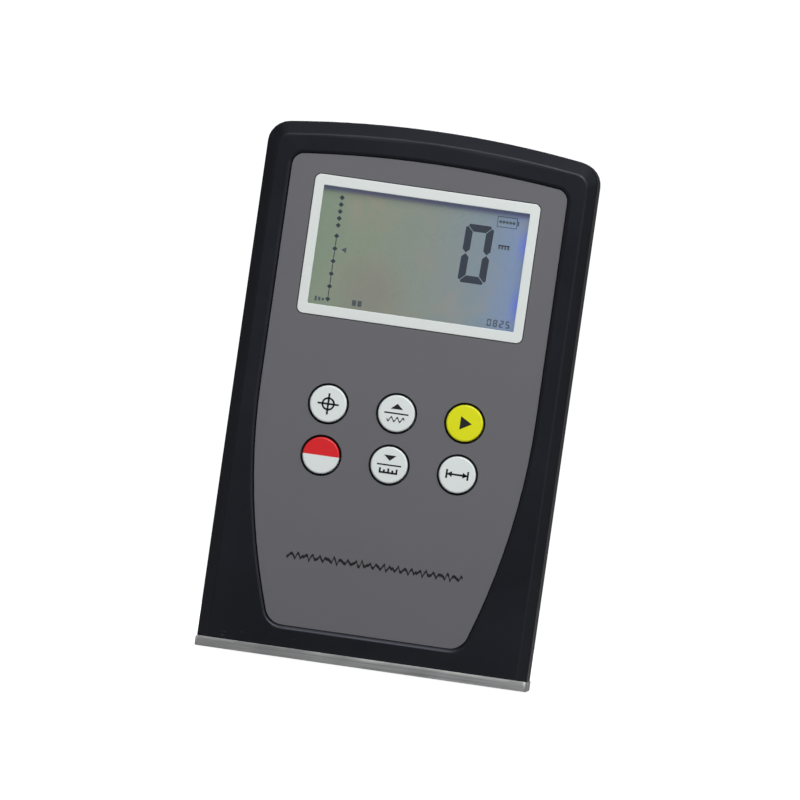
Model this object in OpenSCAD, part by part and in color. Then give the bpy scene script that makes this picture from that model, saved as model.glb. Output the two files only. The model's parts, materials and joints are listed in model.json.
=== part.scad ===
// Surface roughness tester: an upright hand-held gauge that stands on a metal base plate.
// A motor draws a stylus pickup along a slot in the base plate; the result shows on the display.
// Millimetres. +Z up, front towards -Y, origin at the middle of the base plate's underside.

/* [Case] */
// Width of the case
case_w = 75; // [70:1:84]
// Height of the instrument, from the base plate's underside to the top of the crown
case_h = 122; // [121:1:132]
// Depth of the case
case_d = 25; // [24:0.5:30]
// Depth of the front cover, from the front face to the parting line
front_d = 14; // [13.5:0.5:15]
// Wall thickness of the two covers
wall = 2; // [1.6:0.1:2.2]
// Thickness of the front wall behind the panel recess
recess_wall = 1.4; // [1.2:0.1:1.6]
// Radius of the crowned top
crown_r = 242; // [200:2:300]
// Radius of the two upper corners
corner_r = 5; // [4.5:0.25:7]
// Width of the 45 degree bevel round the front and back edges
bevel = 2.3; // [1.5:0.1:2.5]
// Width of the front bevel along the crowned top
crown_bevel = 3; // [2:0.1:3.2]
// Rounding of the bevel's two edges
edge_r = 0.8; // [0.4:0.1:1]
// Height of the rear cover's tongue inside the front cover
lip_h = 2.5; // [1.5:0.25:3]
// Thickness of that tongue
lip_t = 1.2; // [0.8:0.1:1.4]

/* [Base plate] */
// Thickness of the base plate
base_t = 2.2; // [2:0.1:3]
// How far the base plate stands out past the case at each side
base_side = 0.15; // [0:0.05:0.8]
// How far the base plate stands out past the case at the front and back
base_front = 0.5; // [0:0.1:1]
// Corner radius of the base plate
base_r = 0.8; // [0.4:0.1:2]
// Length of the slot that the pickup runs in
slot_l = 26; // [25:0.5:30]
// Width of the slot
slot_w = 9; // [8:0.5:10]

/* [Front panel] */
// Width of the panel
panel_w = 62.5; // [60:0.5:64]
// Distance from the crown's top down to the panel's top
panel_top_gap = 7.5; // [7:0.25:8.5]
// Distance from the base plate up to the panel's lower edge
panel_foot_gap = 5; // [3.5:0.1:6]
// Radius of the panel's crowned top
panel_crown_r = 260; // [220:5:320]
// Radius of the panel's upper corners
panel_corner_r = 2.7; // [2:0.1:4]
// Height at which the panel's sides start to curve in
panel_taper_z = 61; // [56:1:66]
// Radius of the panel's curved lower sides
panel_taper_r = 159; // [150:1:180]
// Radius of the panel's lower corners
panel_foot_r = 4.25; // [4:0.25:7]
// Thickness of the panel
panel_t = 1; // [0.8:0.1:1.2]
// How deep the panel's face lies below the case's front face
panel_sink = 0.6; // [0.4:0.1:0.8]
// Gap between the panel's edge and the recess wall
panel_gap = 0.1; // [0.05:0.05:0.4]
// Rounding of the recess's edge
recess_r = 0.9; // [0.4:0.1:1.1]

/* [Display] */
// Width of the white display frame
frame_w = 51.2; // [50:0.2:53]
// Height of the white display frame
frame_h = 31.6; // [31:0.2:33]
// Corner radius of the display frame
frame_r = 1.4; // [0.8:0.1:2]
// Width of the visible display
view_w = 46.8; // [45:0.2:47.4]
// Height of the visible display
view_h = 26.8; // [25:0.2:27.4]
// Distance from the crown's top down to the middle of the display
display_drop = 28.9; // [28.5:0.1:30]
// How far the display frame stands out of the panel
frame_proud = 0.1; // [0:0.05:0.2]
// Thickness of the clear lens
lens_t = 1.2; // [1:0.05:1.3]
// Thickness of the liquid crystal glass
glass_t = 2.6; // [2.2:0.1:2.8]

/* [Keys] */
// Diameter of a key cap
key_d = 8.3; // [7.5:0.1:9]
// Width of the dark ring round a key cap
key_ring = 0.5; // [0.4:0.05:0.7]
// Distance between the columns of keys
key_pitch_x = 15.5; // [13:0.25:17]
// Distance between the rows of keys
key_pitch_z = 11.7; // [11.4:0.1:13]
// Height of the middle of the keys
keys_z = 52; // [51:0.5:54]
// How far a key cap stands out of the panel
key_proud = 0.6; // [0.3:0.1:0.8]
// Travel of a key
key_travel = 0.4; // [0.2:0.05:0.5]
// Diameter of a switch plunger
plunger_d = 3.4; // [3:0.1:4]

/* [Board and batteries] */
// Gap between the circuit board's sides and the case posts
board_side_gap = 1.15; // [0.6:0.05:2]
// Thickness of the circuit board
board_t = 1.6; // [1.2:0.1:1.6]
// Diameter of a battery
cell_d = 10.5; // [10.2:0.1:10.5]
// Length of a battery
cell_l = 44.5; // [43:0.5:45]
// Length of a battery spring
spring_l = 4.5; // [4:0.25:5]
// Thickness of the battery door
door_t = 1.9; // [1.6:0.1:2]
// Width of the battery door
door_w = 50; // [48:0.5:52]
// How far the door's rails reach into their grooves
rail_w = 1; // [0.6:0.1:1.2]

/* [Drive and pickup] */
// Travel of the pickup along the slot
stroke = 17.5; // [12:0.5:17.5]
// Diameter of the motor
motor_d = 12; // [11:0.5:12]
// Length of the gearbox
gearbox_l = 9; // [8:0.5:9]
// Diameter of the lead screw
screw_d = 3; // [2.5:0.1:3.5]
// Diameter of a guide rod
rod_d = 3; // [2.5:0.1:3.2]
// Length of the carriage along the rods
carriage_l = 11; // [10:0.5:11.5]
// Thickness of the drive bracket
bracket_t = 2; // [1.5:0.1:2.2]
// Length of the pickup
pickup_l = 25; // [24:0.5:26]
// Width of the pickup
pickup_w = 6; // [5.5:0.1:6.4]
// Height of the pickup
pickup_h = 5; // [4.8:0.1:5.5]
// Distance from the pickup's pivot to its stylus
reach = 18; // [16:0.5:18.5]
// Diameter of the skid that slides on the work
skid_d = 4; // [3.4:0.1:5]

/* [Hidden] */
$fn = 64;

// Column, row and colour of each key, by name
KEYS = [
    ["calibrate", -1, 1, "whitesmoke"],
    ["up", 0, 1, "whitesmoke"],
    ["start", 1, 1, "gold"],
    ["power", -1, -1, "firebrick"],
    ["down", 0, -1, "whitesmoke"],
    ["cutoff", 1, -1, "whitesmoke"]
];

// Clearances: a pressed fit, a running fit, a screw in its hole, and a loose fit
snug = 0.02;
running = 0.04;
screw_fit = 0.05;
loose = 0.15;
// Length by which a cut runs past a face
over = 1;

// Case
half_w = case_w / 2;
y_front = -case_d / 2;
y_back = case_d / 2;
y_split = y_front + front_d;
y_rear_wall = y_back - wall;
z_case = base_t;
crown_z = case_h - crown_r;
corner_x = half_w - corner_r;
corner_z = crown_z + sqrt(pow(crown_r - corner_r, 2) - pow(corner_x, 2));
corner_a = atan2(corner_z - crown_z, corner_x);
lip_inset = wall + loose;
x_lip = half_w - lip_inset - lip_t;
bevel_run = edge_r * tan(22.5);
crown_drop = crown_bevel / bevel - 1;

// Front panel and its recess
z_panel_top = case_h - panel_top_gap;
z_panel_foot = z_case + panel_foot_gap;
panel_crown_z = z_panel_top - panel_crown_r;
panel_corner_x = panel_w / 2 - panel_corner_r;
panel_corner_z = panel_crown_z + sqrt(pow(panel_crown_r - panel_corner_r, 2) - pow(panel_corner_x, 2));
panel_corner_a = atan2(panel_corner_z - panel_crown_z, panel_corner_x);
taper_x = panel_w / 2 - panel_taper_r;
panel_foot_z = z_panel_foot + panel_foot_r;
panel_foot_x = taper_x + sqrt(pow(panel_taper_r - panel_foot_r, 2) - pow(panel_taper_z - panel_foot_z, 2));
panel_foot_a = atan2(panel_foot_z - panel_taper_z, panel_foot_x - taper_x);
y_panel = y_front + panel_sink;
y_recess = y_panel + panel_t;
y_wall = y_recess + recess_wall;

// Batteries, stacked from the back face
cell_count = 4;
cell_gap = 0.4;
cell_pitch = cell_d + cell_gap;
nub_d = 3.8;
nub_h = 1.2;
contact_t = 0.5;
contact_w = 8;
bay_wall = 1.2;
bay_w = cell_count * cell_pitch + cell_gap;
bay_l = cell_l + spring_l + 2 * contact_t;
bay_z = 45;
door_seat = 0.1;
lid_gap = 0.1;
floor_gap = 0.2;
spring_gap = 0.1;
spring_wire = 0.6;
spring_tip_r = 1.6;
spring_foot_r = 3.4;
spring_turns = 4;
jacket_edge = 0.6;
y_bay_lid = y_back - door_t - door_seat;
y_cell = y_bay_lid - lid_gap - cell_d / 2;
y_bay = y_cell - cell_d / 2 - floor_gap;
door_foot = 4;
door_z = bay_z - door_foot;
door_shelf = 2.5;
grip_ribs = 5;
grip_pitch = 2;
grip_depth = 0.5;
grip_foot = 7;
door_backing = 1.5;
rail_t = 0.8;

// Display, stacked from the recess floor to the circuit board
z_display = case_h - display_drop;
lens_lap = 0.6;
lens_w = view_w + 2 * lens_lap;
lens_h = view_h + 2 * lens_lap;
glass_lap_x = 3;
glass_lap_z = 2.5;
glass_w = lens_w + 2 * glass_lap_x;
glass_h = lens_h + 2 * glass_lap_z;
backlight_in = 1;
y_glass_back = y_wall + glass_t;
board_gap = 1;
y_board_back = y_bay - bay_wall - board_gap;
y_board = y_board_back - board_t;

// Keys and switches
cap_r = key_d / 2;
cap_round = 0.4;
cap_flange = 1;
cap_flange_t = 1.5;
flange_gap = 0.1;
switch_w = 6;
press_gap = 0.2;
y_cap = y_panel - key_proud;
y_flange = y_wall + flange_gap;
y_key_back = y_flange + cap_flange_t;
y_switch = y_key_back + key_travel + press_gap;
plunger_sink = 0.5;

// Screw posts of the case
post_d = 6;
post_gap = 0.5;
post_x = x_lip - post_d / 2 - post_gap;
post_z_low = 38;
post_drop = 10;
post_z_high = case_h - post_drop;
case_screw_d = 2.5;
case_head_d = 5;
case_head_h = 2;
case_screw_l = 11;
head_post_d = 8;
head_floor = 1.5;
y_case_head = y_split + 2 * head_floor;
base_post_y = y_back - wall - post_d / 2 - post_gap;
rib_t = 2;
base_screw_d = 2.4;
base_head_d = 4.4;
base_head_h = 1.2;
base_screw_l = 7;
head_sink = 0.1;

// Circuit board
board_screw_d = 1.6;
board_head_d = 3.4;
board_head_h = 1.2;
board_post_d = 4.8;
board_post_floor = 2;
board_screw_l = y_board_back - y_wall - board_post_floor;
board_screw_in = 2.5;
board_screw_gap = 0.2;
board_w = 2 * (post_x - post_d / 2 - board_side_gap);
board_screws_low_x = board_w / 2 - board_screw_in;
board_screws_low_z = 39.6;
board_screws_high_x = 20;
board_screws_high_z = z_display + glass_h / 2 + board_post_d / 2 + board_screw_gap;
board_z_low = board_screws_low_z - board_post_d / 2;
board_z_high = board_screws_high_z + board_post_d / 2;
header_w = 8;
header_l = 5;
header_h = 4;
header_floor = 1;
header_pins = 5;
header_pitch = 1.4;
socket_w = 0.8;
socket_h = 1.6;
chip_h = 0.8;
chip_w = 12;
chip_l = 10;
small_chip_w = 6;
small_chip_l = 5;
chip_pitch = 17;
chip_rise = 12;

// Drive, stacked from the base plate upwards
float_gap = 0.6;
rod_edge = 3.5;
rod_pitch = 7.75;
z_bracket = z_case + bracket_t;
z_pickup = z_bracket + float_gap;
z_pickup_top = z_pickup + pickup_h;
z_carriage = z_pickup_top + float_gap;
z_low_rod = z_carriage + rod_edge;
z_screw = z_low_rod + rod_pitch;
z_high_rod = z_screw + rod_pitch;
z_carriage_top = z_high_rod + rod_edge - float_gap;
z_bracket_top = z_high_rod + rod_edge;
z_arch = z_carriage + float_gap;
z_base_post = z_carriage - float_gap;
base_post_cap = 1.2;
motor_side = 1;
motor_flat = motor_d - 2 * motor_side;
motor_boss_l = 0.6;
motor_boss_d = 4;
drive_gap = 1.45;
motor_gap = 0.55;
end_gap = 0.8;
upright_gap = 0.4;
upright_w = 2 * (base_post_y - post_d / 2 - upright_gap);
journal_out = 0.4;
journal_d = screw_d - 1;
shoulder_gap = 0.5;
bush_wall = 0.5;
bush_d = screw_d + 2 * bush_wall;
x_upright_end = x_lip - drive_gap - journal_out;
x_upright = x_upright_end - bracket_t;
carriage_x = x_upright - end_gap - stroke - carriage_l / 2;
carriage_w = 9.2;
nut_wall = 1.75;
nut_rim = 1;
nut_d = screw_d + 2 * nut_wall;
nut_flange_d = nut_d + 2 * nut_rim;
nut_flange_t = 0.9;
nut_back = 1;
coupling_l = 6.8;
coupling_d = 6;
coupling_gap = 1.2;
x_coupling = carriage_x - carriage_l / 2 - nut_flange_t - coupling_gap - coupling_l;
shaft_gap = 0.1;
shaft_in = 2.5;
x_screw = x_coupling + coupling_l / 2 + shaft_gap;
x_portal = x_coupling - float_gap - bracket_t;
x_motor = motor_gap + motor_boss_l - x_lip;
flange_x = post_x - post_d / 2 - post_gap;
window_gap = 1;
window_x = slot_l / 2 + window_gap;
window_side = 2.2;
window_y = pickup_w / 2 + window_side;
gearbox_screw_d = 1.6;
gearbox_screw_z = 4.4;
gearbox_screw_l = 3;
gearbox_head_d = 2.4;
gearbox_head_h = 0.5;
bracket_screw_end = 4;
flange_gap_y = 0.5;
flange_edge = 2;
flange_y = -y_wall - flange_gap_y;
bracket_screw_y = flange_y - flange_edge;
bracket_screw_x = flange_x - bracket_screw_end;
portal_in = 1;
portal_y = flange_y - portal_in;

// Pickup
pivot_ahead = 2;
pivot_x = carriage_x + pivot_ahead;
pickup_nose = 3;
ear_l = 5;
pivot_z = z_pickup + pickup_h / 2;
pivot_d = 1.5;
stylus_x = pivot_x - reach;
x_slot = stylus_x + stroke / 2;
slot_flat = 0.02;
slot_r = (slot_w - slot_flat) / 2;
ear_gap = 0.3;
stylus_pin_d = 0.8;
arm_l = 7;
stylus_pin_x = stylus_x + arm_l;
arm_rise = 2.2;
pin_wall = 0.6;
arm_z = z_pickup + arm_rise;
arm_h = 1;
arm_w = 1.2;
arm_hub_d = 2;
arm_tail = 3;
arm_room = 0.6;
point_d = 1;
point_gap = 0.4;
skid_bore = point_d + 2 * point_gap;
skid_round = 0.8;
work_gap = 0.1;
tip_top = 2;
tip_d = 0.8;
point_flat = 0.1;

// Points of an arc about c from angle a0 to a1, with both its ends
function arc(c, r, a0, a1, n) =
    [for (i = [0:n]) let (a = a0 + (a1 - a0) * i / n) [c.x + r * cos(a), c.y + r * sin(a)]];

// The same arc without its two ends, where neighbouring arcs supply them
function inner_arc(c, r, a0, a1, n) =
    [for (i = [1:n - 1]) let (a = a0 + (a1 - a0) * i / n) [c.x + r * cos(a), c.y + r * sin(a)]];

// Outline of the case in X and Z, moved inwards by inset, down to z_low, with its top lowered by drop
function case_outline(inset, z_low = z_case, drop = 0) = concat(
    [[inset - half_w, z_low], [half_w - inset, z_low]],
    arc([corner_x, corner_z - drop], corner_r - inset, 0, corner_a, 6),
    inner_arc([0, crown_z - drop], crown_r - inset, corner_a, 180 - corner_a, 16),
    arc([-corner_x, corner_z - drop], corner_r - inset, 180 - corner_a, 180, 6)
);

// Outline of the front panel in X and Z, moved outwards by grow
function panel_outline(grow) = concat(
    arc([panel_foot_x, panel_foot_z], panel_foot_r + grow, -90, panel_foot_a, 6),
    inner_arc([taper_x, panel_taper_z], panel_taper_r + grow, panel_foot_a, 0, 10),
    [[panel_w / 2 + grow, panel_taper_z]],
    arc([panel_corner_x, panel_corner_z], panel_corner_r + grow, 0, panel_corner_a, 5),
    inner_arc([0, panel_crown_z], panel_crown_r + grow, panel_corner_a, 180 - panel_corner_a, 14),
    arc([-panel_corner_x, panel_corner_z], panel_corner_r + grow, 180 - panel_corner_a, 180, 5),
    [[-panel_w / 2 - grow, panel_taper_z]],
    inner_arc([-taper_x, panel_taper_z], panel_taper_r + grow, 180, 180 - panel_foot_a, 10),
    arc([-panel_foot_x, panel_foot_z], panel_foot_r + grow, 180 - panel_foot_a, 270, 6)
);

// Inset and depth of the bevel, from the face to the side, with both its edges rounded
function bevel_steps(n = 3) = concat(
    [for (i = [0:n]) let (a = 45 * i / n)
        [bevel + bevel_run - edge_r * sin(a), edge_r * (1 - cos(a))]],
    [for (i = [n:-1:0]) let (a = 45 * i / n)
        [edge_r * (1 - cos(a)), bevel + bevel_run - edge_r * sin(a)]]
);

// Growth and depth of the recess's rounded edge, from the face down to the recess wall
function recess_steps(n = 5) = [for (i = [0:n]) let (a = 90 * i / n)
    [panel_gap + recess_r * (1 - sin(a)), recess_r * (1 - cos(a))]];

// Solid through sections along Y, each given as [y, outline], front to back
module loft(sections) {
    n = len(sections[0][1]);
    last = len(sections) - 1;
    polyhedron(
        points = [for (s = sections) for (p = s[1]) [p.x, s[0], p.y]],
        faces = concat(
            [[for (i = [n - 1:-1:0]) i]],
            [for (k = [0:last - 1]) for (i = [0:n - 1]) let (j = (i + 1) % n)
                [k * n + i, k * n + j, (k + 1) * n + j, (k + 1) * n + i]],
            [[for (i = [0:n - 1]) last * n + i]]
        )
    );
}

// Extrudes an outline drawn in X and Z from y0 to y1
module slab(y0, y1) {
    translate([0, y1, 0]) rotate([90, 0, 0]) linear_extrude(height = y1 - y0) children();
}

// Round bar along X, Y or Z
module bar_x(d, x0, x1) { translate([x0, 0, 0]) rotate([0, 90, 0]) cylinder(d = d, h = x1 - x0); }
module bar_y(d, y0, y1) { translate([0, y1, 0]) rotate([90, 0, 0]) cylinder(d = d, h = y1 - y0); }
module bar_z(d, z0, z1) { translate([0, 0, z0]) cylinder(d = d, h = z1 - z0); }

// Box from one corner to the other
module span(low, high) { translate(low) cube(high - low); }

// Rectangle with rounded corners, centred
module rounded_rectangle(w, h, r) {
    union() {
        square([w - 2 * r, h], center = true);
        square([w, h - 2 * r], center = true);
        for (x = [-1, 1], z = [-1, 1]) translate([x * (w / 2 - r), z * (h / 2 - r)]) circle(r = r);
    }
}

// Children at both sides, mirrored about the middle plane
module both_sides() {
    children();
    mirror([1, 0, 0]) children();
}

// Children at each of the four case screws
module at_case_posts() {
    for (x = [-post_x, post_x], z = [post_z_low, post_z_high]) translate([x, 0, z]) children();
}

// Children at each of the four screws of the circuit board
module at_board_posts() {
    for (x = [-1, 1]) {
        translate([x * board_screws_low_x, 0, board_screws_low_z]) children();
        translate([x * board_screws_high_x, 0, board_screws_high_z]) children();
    }
}

// Children at the middle of a key
module at_key(key) {
    translate([key[1] * key_pitch_x, 0, keys_z + key[2] * key_pitch_z / 2]) children();
}

// Vertical post for a base plate screw, with a rib to the side wall
module base_post(y) {
    both_sides() {
        translate([post_x, y, 0]) bar_z(post_d, z_case, z_base_post);
        span([post_x, y - rib_t / 2, z_case], [half_w - wall / 2, y + rib_t / 2, z_base_post]);
    }
}

module base_post_pilot(y) {
    both_sides() translate([post_x, y, 0])
        bar_z(base_screw_d + 2 * screw_fit, z_case - over, z_base_post - base_post_cap);
}

// Front half of the case
module front_cover() {
    sections = concat(
        [for (s = bevel_steps()) [y_front + s[1], case_outline(s[0], drop = crown_drop * s[0])]],
        [[y_split, case_outline(0)]]
    );
    recess = concat(
        [[y_front - over, panel_outline(panel_gap + recess_r)]],
        [for (s = recess_steps()) [y_front + s[1], panel_outline(s[0])]],
        [[y_recess, panel_outline(panel_gap)]]
    );
    color("dimgray") difference() {
        union() {
            difference() {
                loft(sections);
                slab(y_wall, y_split + over) polygon(case_outline(wall, z_case - over));
            }
            at_case_posts() bar_y(post_d, y_wall - recess_wall / 2, y_split);
            at_board_posts() bar_y(board_post_d, y_wall - recess_wall / 2, y_board);
            base_post(-base_post_y);
        }
        loft(recess);
        translate([0, 0, z_display]) slab(y_recess - over, y_wall + over)
            square([lens_w + 2 * loose, lens_h + 2 * loose], center = true);
        for (key = KEYS) at_key(key) bar_y(key_d + 2 * loose, y_recess - over, y_wall + over);
        at_case_posts() bar_y(case_screw_d + 2 * screw_fit, y_wall + recess_wall, y_split + over);
        at_board_posts() bar_y(board_screw_d + 2 * screw_fit, y_wall, y_board + over);
        base_post_pilot(-base_post_y);
    }
}

// Outer form of the rear half, from the parting line to the back face
module rear_form() {
    loft(concat(
        [[y_split, case_outline(0)]],
        [for (s = [for (i = [len(bevel_steps()) - 1:-1:0]) bevel_steps()[i]])
            [y_back - s[1], case_outline(s[0])]]
    ));
}

// Tongue that locates the rear cover inside the front cover
module rear_lip() {
    slab(y_split - lip_h, y_split + 0.5) difference() {
        polygon(case_outline(lip_inset));
        polygon(case_outline(lip_inset + lip_t, z_case - over));
    }
    slab(y_split, y_split + 2) difference() {
        polygon(case_outline(wall / 2));
        polygon(case_outline(lip_inset + lip_t, z_case - over));
    }
}

// Space of the sliding door and its rails, widened by gap on every side
module door_space(gap, y0) {
    span([-door_w / 2 - gap, y0, door_z - gap], [door_w / 2 + gap, y_back + over, case_h + over]);
    span([-door_w / 2 - rail_w - gap, y0, door_z - gap],
         [door_w / 2 + rail_w + gap, y0 + rail_t + 2 * gap, case_h + over]);
}

// Rear half of the case, with the battery bay
module rear_cover() {
    color("dimgray") difference() {
        union() {
            difference() {
                rear_form();
                slab(y_split - over, y_rear_wall) polygon(case_outline(wall, z_case - over));
            }
            rear_lip();
            at_case_posts() {
                bar_y(post_d, y_split, y_case_head);
                bar_y(head_post_d, y_case_head - head_floor, y_rear_wall + wall / 2);
            }
            base_post(base_post_y);
            slab(y_bay_lid - door_backing, y_rear_wall + wall / 4) intersection() {
                polygon(case_outline(wall / 2));
                translate([-door_w / 2 - door_shelf, door_z - door_foot])
                    square([door_w + 2 * door_shelf, case_h]);
            }
            span([-bay_w / 2 - bay_wall, y_bay - bay_wall, bay_z - bay_wall],
                 [bay_w / 2 + bay_wall, y_bay_lid, bay_z + bay_l + bay_wall]);
        }
        door_space(loose, y_bay_lid);
        span([-bay_w / 2, y_bay, bay_z], [bay_w / 2, y_back + over, bay_z + bay_l]);
        at_case_posts() {
            bar_y(case_screw_d + 4 * screw_fit, y_split - over, y_back + over);
            bar_y(case_head_d + 8 * screw_fit, y_case_head, y_back + over);
        }
        base_post_pilot(base_post_y);
    }
}

// Battery door: slides up out of its grooves, with a ribbed thumb grip
module battery_door() {
    color("dimgray") difference() {
        intersection() {
            rear_form();
            door_space(0, y_bay_lid + door_seat);
        }
        for (i = [0:grip_ribs - 1])
            span([-door_w / 5, y_back - grip_depth, door_z + grip_foot + i * grip_pitch],
                 [door_w / 5, y_back + over, door_z + grip_foot + (i + 0.5) * grip_pitch]);
    }
}

// Countersunk hole or screw along Z, head down, grown by gap
module countersunk(d, head_d, head_h, z0, z1, gap) {
    translate([0, 0, z0]) cylinder(d1 = head_d + 2 * gap, d2 = d + 2 * gap, h = head_h);
    bar_z(d + 2 * gap, z0, z1);
}

// Children at the base plate's screws into the case, and at those into the drive bracket
module at_base_screws() {
    for (x = [-post_x, post_x], y = [-base_post_y, base_post_y]) translate([x, y, 0]) children();
}
module at_bracket_screws() {
    for (x = [-bracket_screw_x, bracket_screw_x], y = [-bracket_screw_y, bracket_screw_y])
        translate([x, y, 0]) children();
}

// Metal plate that the instrument stands on, with the pickup's slot
module base_plate() {
    module screw_hole() {
        countersunk(base_screw_d, base_head_d, base_head_h, head_sink, base_t + over, screw_fit);
        bar_z(base_head_d + 2 * screw_fit, -over, head_sink);
    }
    color("silver") difference() {
        linear_extrude(height = base_t)
            rounded_rectangle(case_w + 2 * base_side, case_d + 2 * base_front, base_r);
        translate([x_slot, 0, -over]) linear_extrude(height = base_t + 2 * over)
            rounded_rectangle(slot_l, slot_w, slot_r);
        at_base_screws() screw_hole();
        at_bracket_screws() screw_hole();
    }
}

// Grey front panel, with its window and key holes
module front_panel() {
    color("gray") difference() {
        slab(y_panel, y_recess) polygon(panel_outline(0));
        translate([0, 0, z_display]) slab(y_panel - over, y_recess + over)
            rounded_rectangle(frame_w + 2 * loose, frame_h + 2 * loose, frame_r + loose);
        for (key = KEYS) at_key(key) bar_y(key_d + 2 * key_ring, y_panel - over, y_recess + over);
    }
}

// White frame round the display
module display_frame() {
    color("whitesmoke") translate([0, 0, z_display]) slab(y_panel - frame_proud, y_recess) difference() {
        rounded_rectangle(frame_w, frame_h, frame_r);
        square([view_w, view_h], center = true);
    }
}

// Clear lens behind the frame
module display_lens() {
    color("lightblue", 0.4) translate([0, 0, z_display])
        slab(y_recess, y_recess + lens_t) square([lens_w, lens_h], center = true);
}

// Liquid crystal glass
module lcd_glass() {
    color("darkseagreen") translate([0, 0, z_display])
        slab(y_wall, y_glass_back) square([glass_w, glass_h], center = true);
}

// Light guide behind the glass
module backlight() {
    color("ivory") translate([0, 0, z_display])
        slab(y_glass_back, y_board)
            square([glass_w - 2 * backlight_in, glass_h - 2 * backlight_in], center = true);
}

// Key cap with a retaining flange
module key_cap(key) {
    color(key[3]) at_key(key) rotate([-90, 0, 0]) rotate_extrude() polygon(concat(
        [[0, y_cap], [cap_r - cap_round, y_cap]],
        inner_arc([cap_r - cap_round, y_cap + cap_round], cap_round, -90, 0, 4),
        [[cap_r, y_cap + cap_round], [cap_r, y_flange], [cap_r + cap_flange, y_flange],
         [cap_r + cap_flange, y_key_back], [0, y_key_back]]
    ));
}

// Switch plunger that a key pushes
module plunger(key) {
    color("black") at_key(key) bar_y(plunger_d, y_key_back, y_switch + plunger_sink);
}

// Push switches on the circuit board
module key_switches() {
    room = plunger_d + 2 * loose;
    depth = plunger_sink + key_travel + press_gap;
    color("darkslategray") for (key = KEYS) at_key(key) difference() {
        span([-switch_w / 2, y_switch, -switch_w / 2], [switch_w / 2, y_board, switch_w / 2]);
        bar_y(room, y_switch - over, y_switch + depth);
    }
}

// Circuit board
module circuit_board() {
    color("darkgreen") difference() {
        span([-board_w / 2, y_board, board_z_low], [board_w / 2, y_board_back, board_z_high]);
        at_board_posts() bar_y(board_screw_d + 4 * screw_fit, y_board - over, y_board_back + over);
    }
}

// Chips on the back of the circuit board
module board_chips() {
    module chip(x, w, l) {
        translate([x, 0, z_display + chip_rise]) slab(y_board_back, y_board_back + chip_h)
            square([w, l], center = true);
    }
    color("black") {
        chip(0, chip_w, chip_l);
        both_sides() chip(chip_pitch, small_chip_w, small_chip_l);
    }
}

// Header for the motor and pickup leads
module wire_header() {
    color("ivory") translate([0, 0, board_screws_low_z]) difference() {
        slab(y_board_back, y_board_back + header_l) square([header_w, header_h], center = true);
        for (i = [0:header_pins - 1]) translate([(i - (header_pins - 1) / 2) * header_pitch, 0, 0])
            slab(y_board_back + header_floor, y_board_back + header_l + over)
                square([socket_w, socket_h], center = true);
    }
}

// Middle of battery i, counted from the left; odd ones stand the other way up
function cell_x(i) = (i - (cell_count + 1) / 2) * cell_pitch;
function cell_up(i) = i % 2 == 1;

// Height at which the negative end of battery i meets its spring
function spring_end(i) = cell_up(i)
    ? bay_z + contact_t + spring_l
    : bay_z + bay_l - contact_t - spring_l;

module battery(i) {
    r = cell_d / 2;
    body = cell_l - nub_h;
    color("goldenrod") translate([cell_x(i), y_cell, spring_end(i)])
        mirror([0, 0, cell_up(i) ? 0 : 1]) rotate_extrude() polygon([
            [0, 0], [r - jacket_edge, 0], [r, jacket_edge], [r, body - jacket_edge], [r - jacket_edge, body],
            [nub_d / 2, body], [nub_d / 2, cell_l], [0, cell_l]
        ]);
}

// Coil spring along Z, swept as one tube from z = 0 to z = h
module coil(r0, r1, wire, h, turns) {
    sides = 6;
    per_turn = 12;
    n = turns * per_turn;
    points = [for (i = [0:n]) let (t = i / n, a = 360 * turns * t, z = wire / 2 + (h - wire) * t)
        for (k = [0:sides - 1]) let (b = 360 * k / sides, r = r0 + (r1 - r0) * t + wire / 2 * cos(b))
            [r * cos(a), r * sin(a), z + wire / 2 * sin(b)]];
    polyhedron(points, concat(
        [[for (k = [0:sides - 1]) k]],
        [for (i = [0:n - 1]) for (k = [0:sides - 1]) let (m = (k + 1) % sides)
            [i * sides + k, (i + 1) * sides + k, (i + 1) * sides + m, i * sides + m]],
        [[for (k = [sides - 1:-1:0]) n * sides + k]]
    ));
}

// One spring at the negative end of each battery
module battery_springs() {
    color("silver") for (i = [1:cell_count]) translate([cell_x(i), y_cell, spring_end(i)])
        mirror([0, 0, cell_up(i) ? 1 : 0]) translate([0, 0, spring_gap])
            coil(spring_tip_r, spring_foot_r, spring_wire, spring_l - 2 * spring_gap, spring_turns);
}

// Contact plates at both ends of the battery bay
module battery_contacts() {
    color("silver") for (i = [1:cell_count], z = [bay_z, bay_z + bay_l - contact_t])
        span([cell_x(i) - contact_w / 2, y_cell - contact_w / 2, z],
             [cell_x(i) + contact_w / 2, y_cell + contact_w / 2, z + contact_t]);
}

// Cross recess for a driver, cut upwards from z = 0
module cross_recess(head_d, depth) {
    arm = 0.6 * head_d;
    slit = 0.12 * head_d;
    for (a = [0, 90]) rotate([0, 0, a]) span([-arm / 2, -slit / 2, 0], [arm / 2, slit / 2, depth]);
}

// Pan head screw along Y: the head's underside lies at y = 0, the shank runs towards the front
module pan_screw(d, head_d, head_h, l) {
    rotate([-90, 0, 0]) difference() {
        union() {
            bar_z(d, -l, head_h / 2);
            cylinder(d1 = head_d, d2 = head_d * 0.8, h = head_h);
        }
        translate([0, 0, head_h / 2]) cross_recess(head_d, head_h);
    }
}

module case_screws() {
    color("silver") at_case_posts() translate([0, y_case_head, 0])
        pan_screw(case_screw_d, case_head_d, case_head_h, case_screw_l);
}

module board_screws() {
    color("silver") at_board_posts() translate([0, y_board_back, 0])
        pan_screw(board_screw_d, board_head_d, board_head_h, board_screw_l);
}

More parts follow.
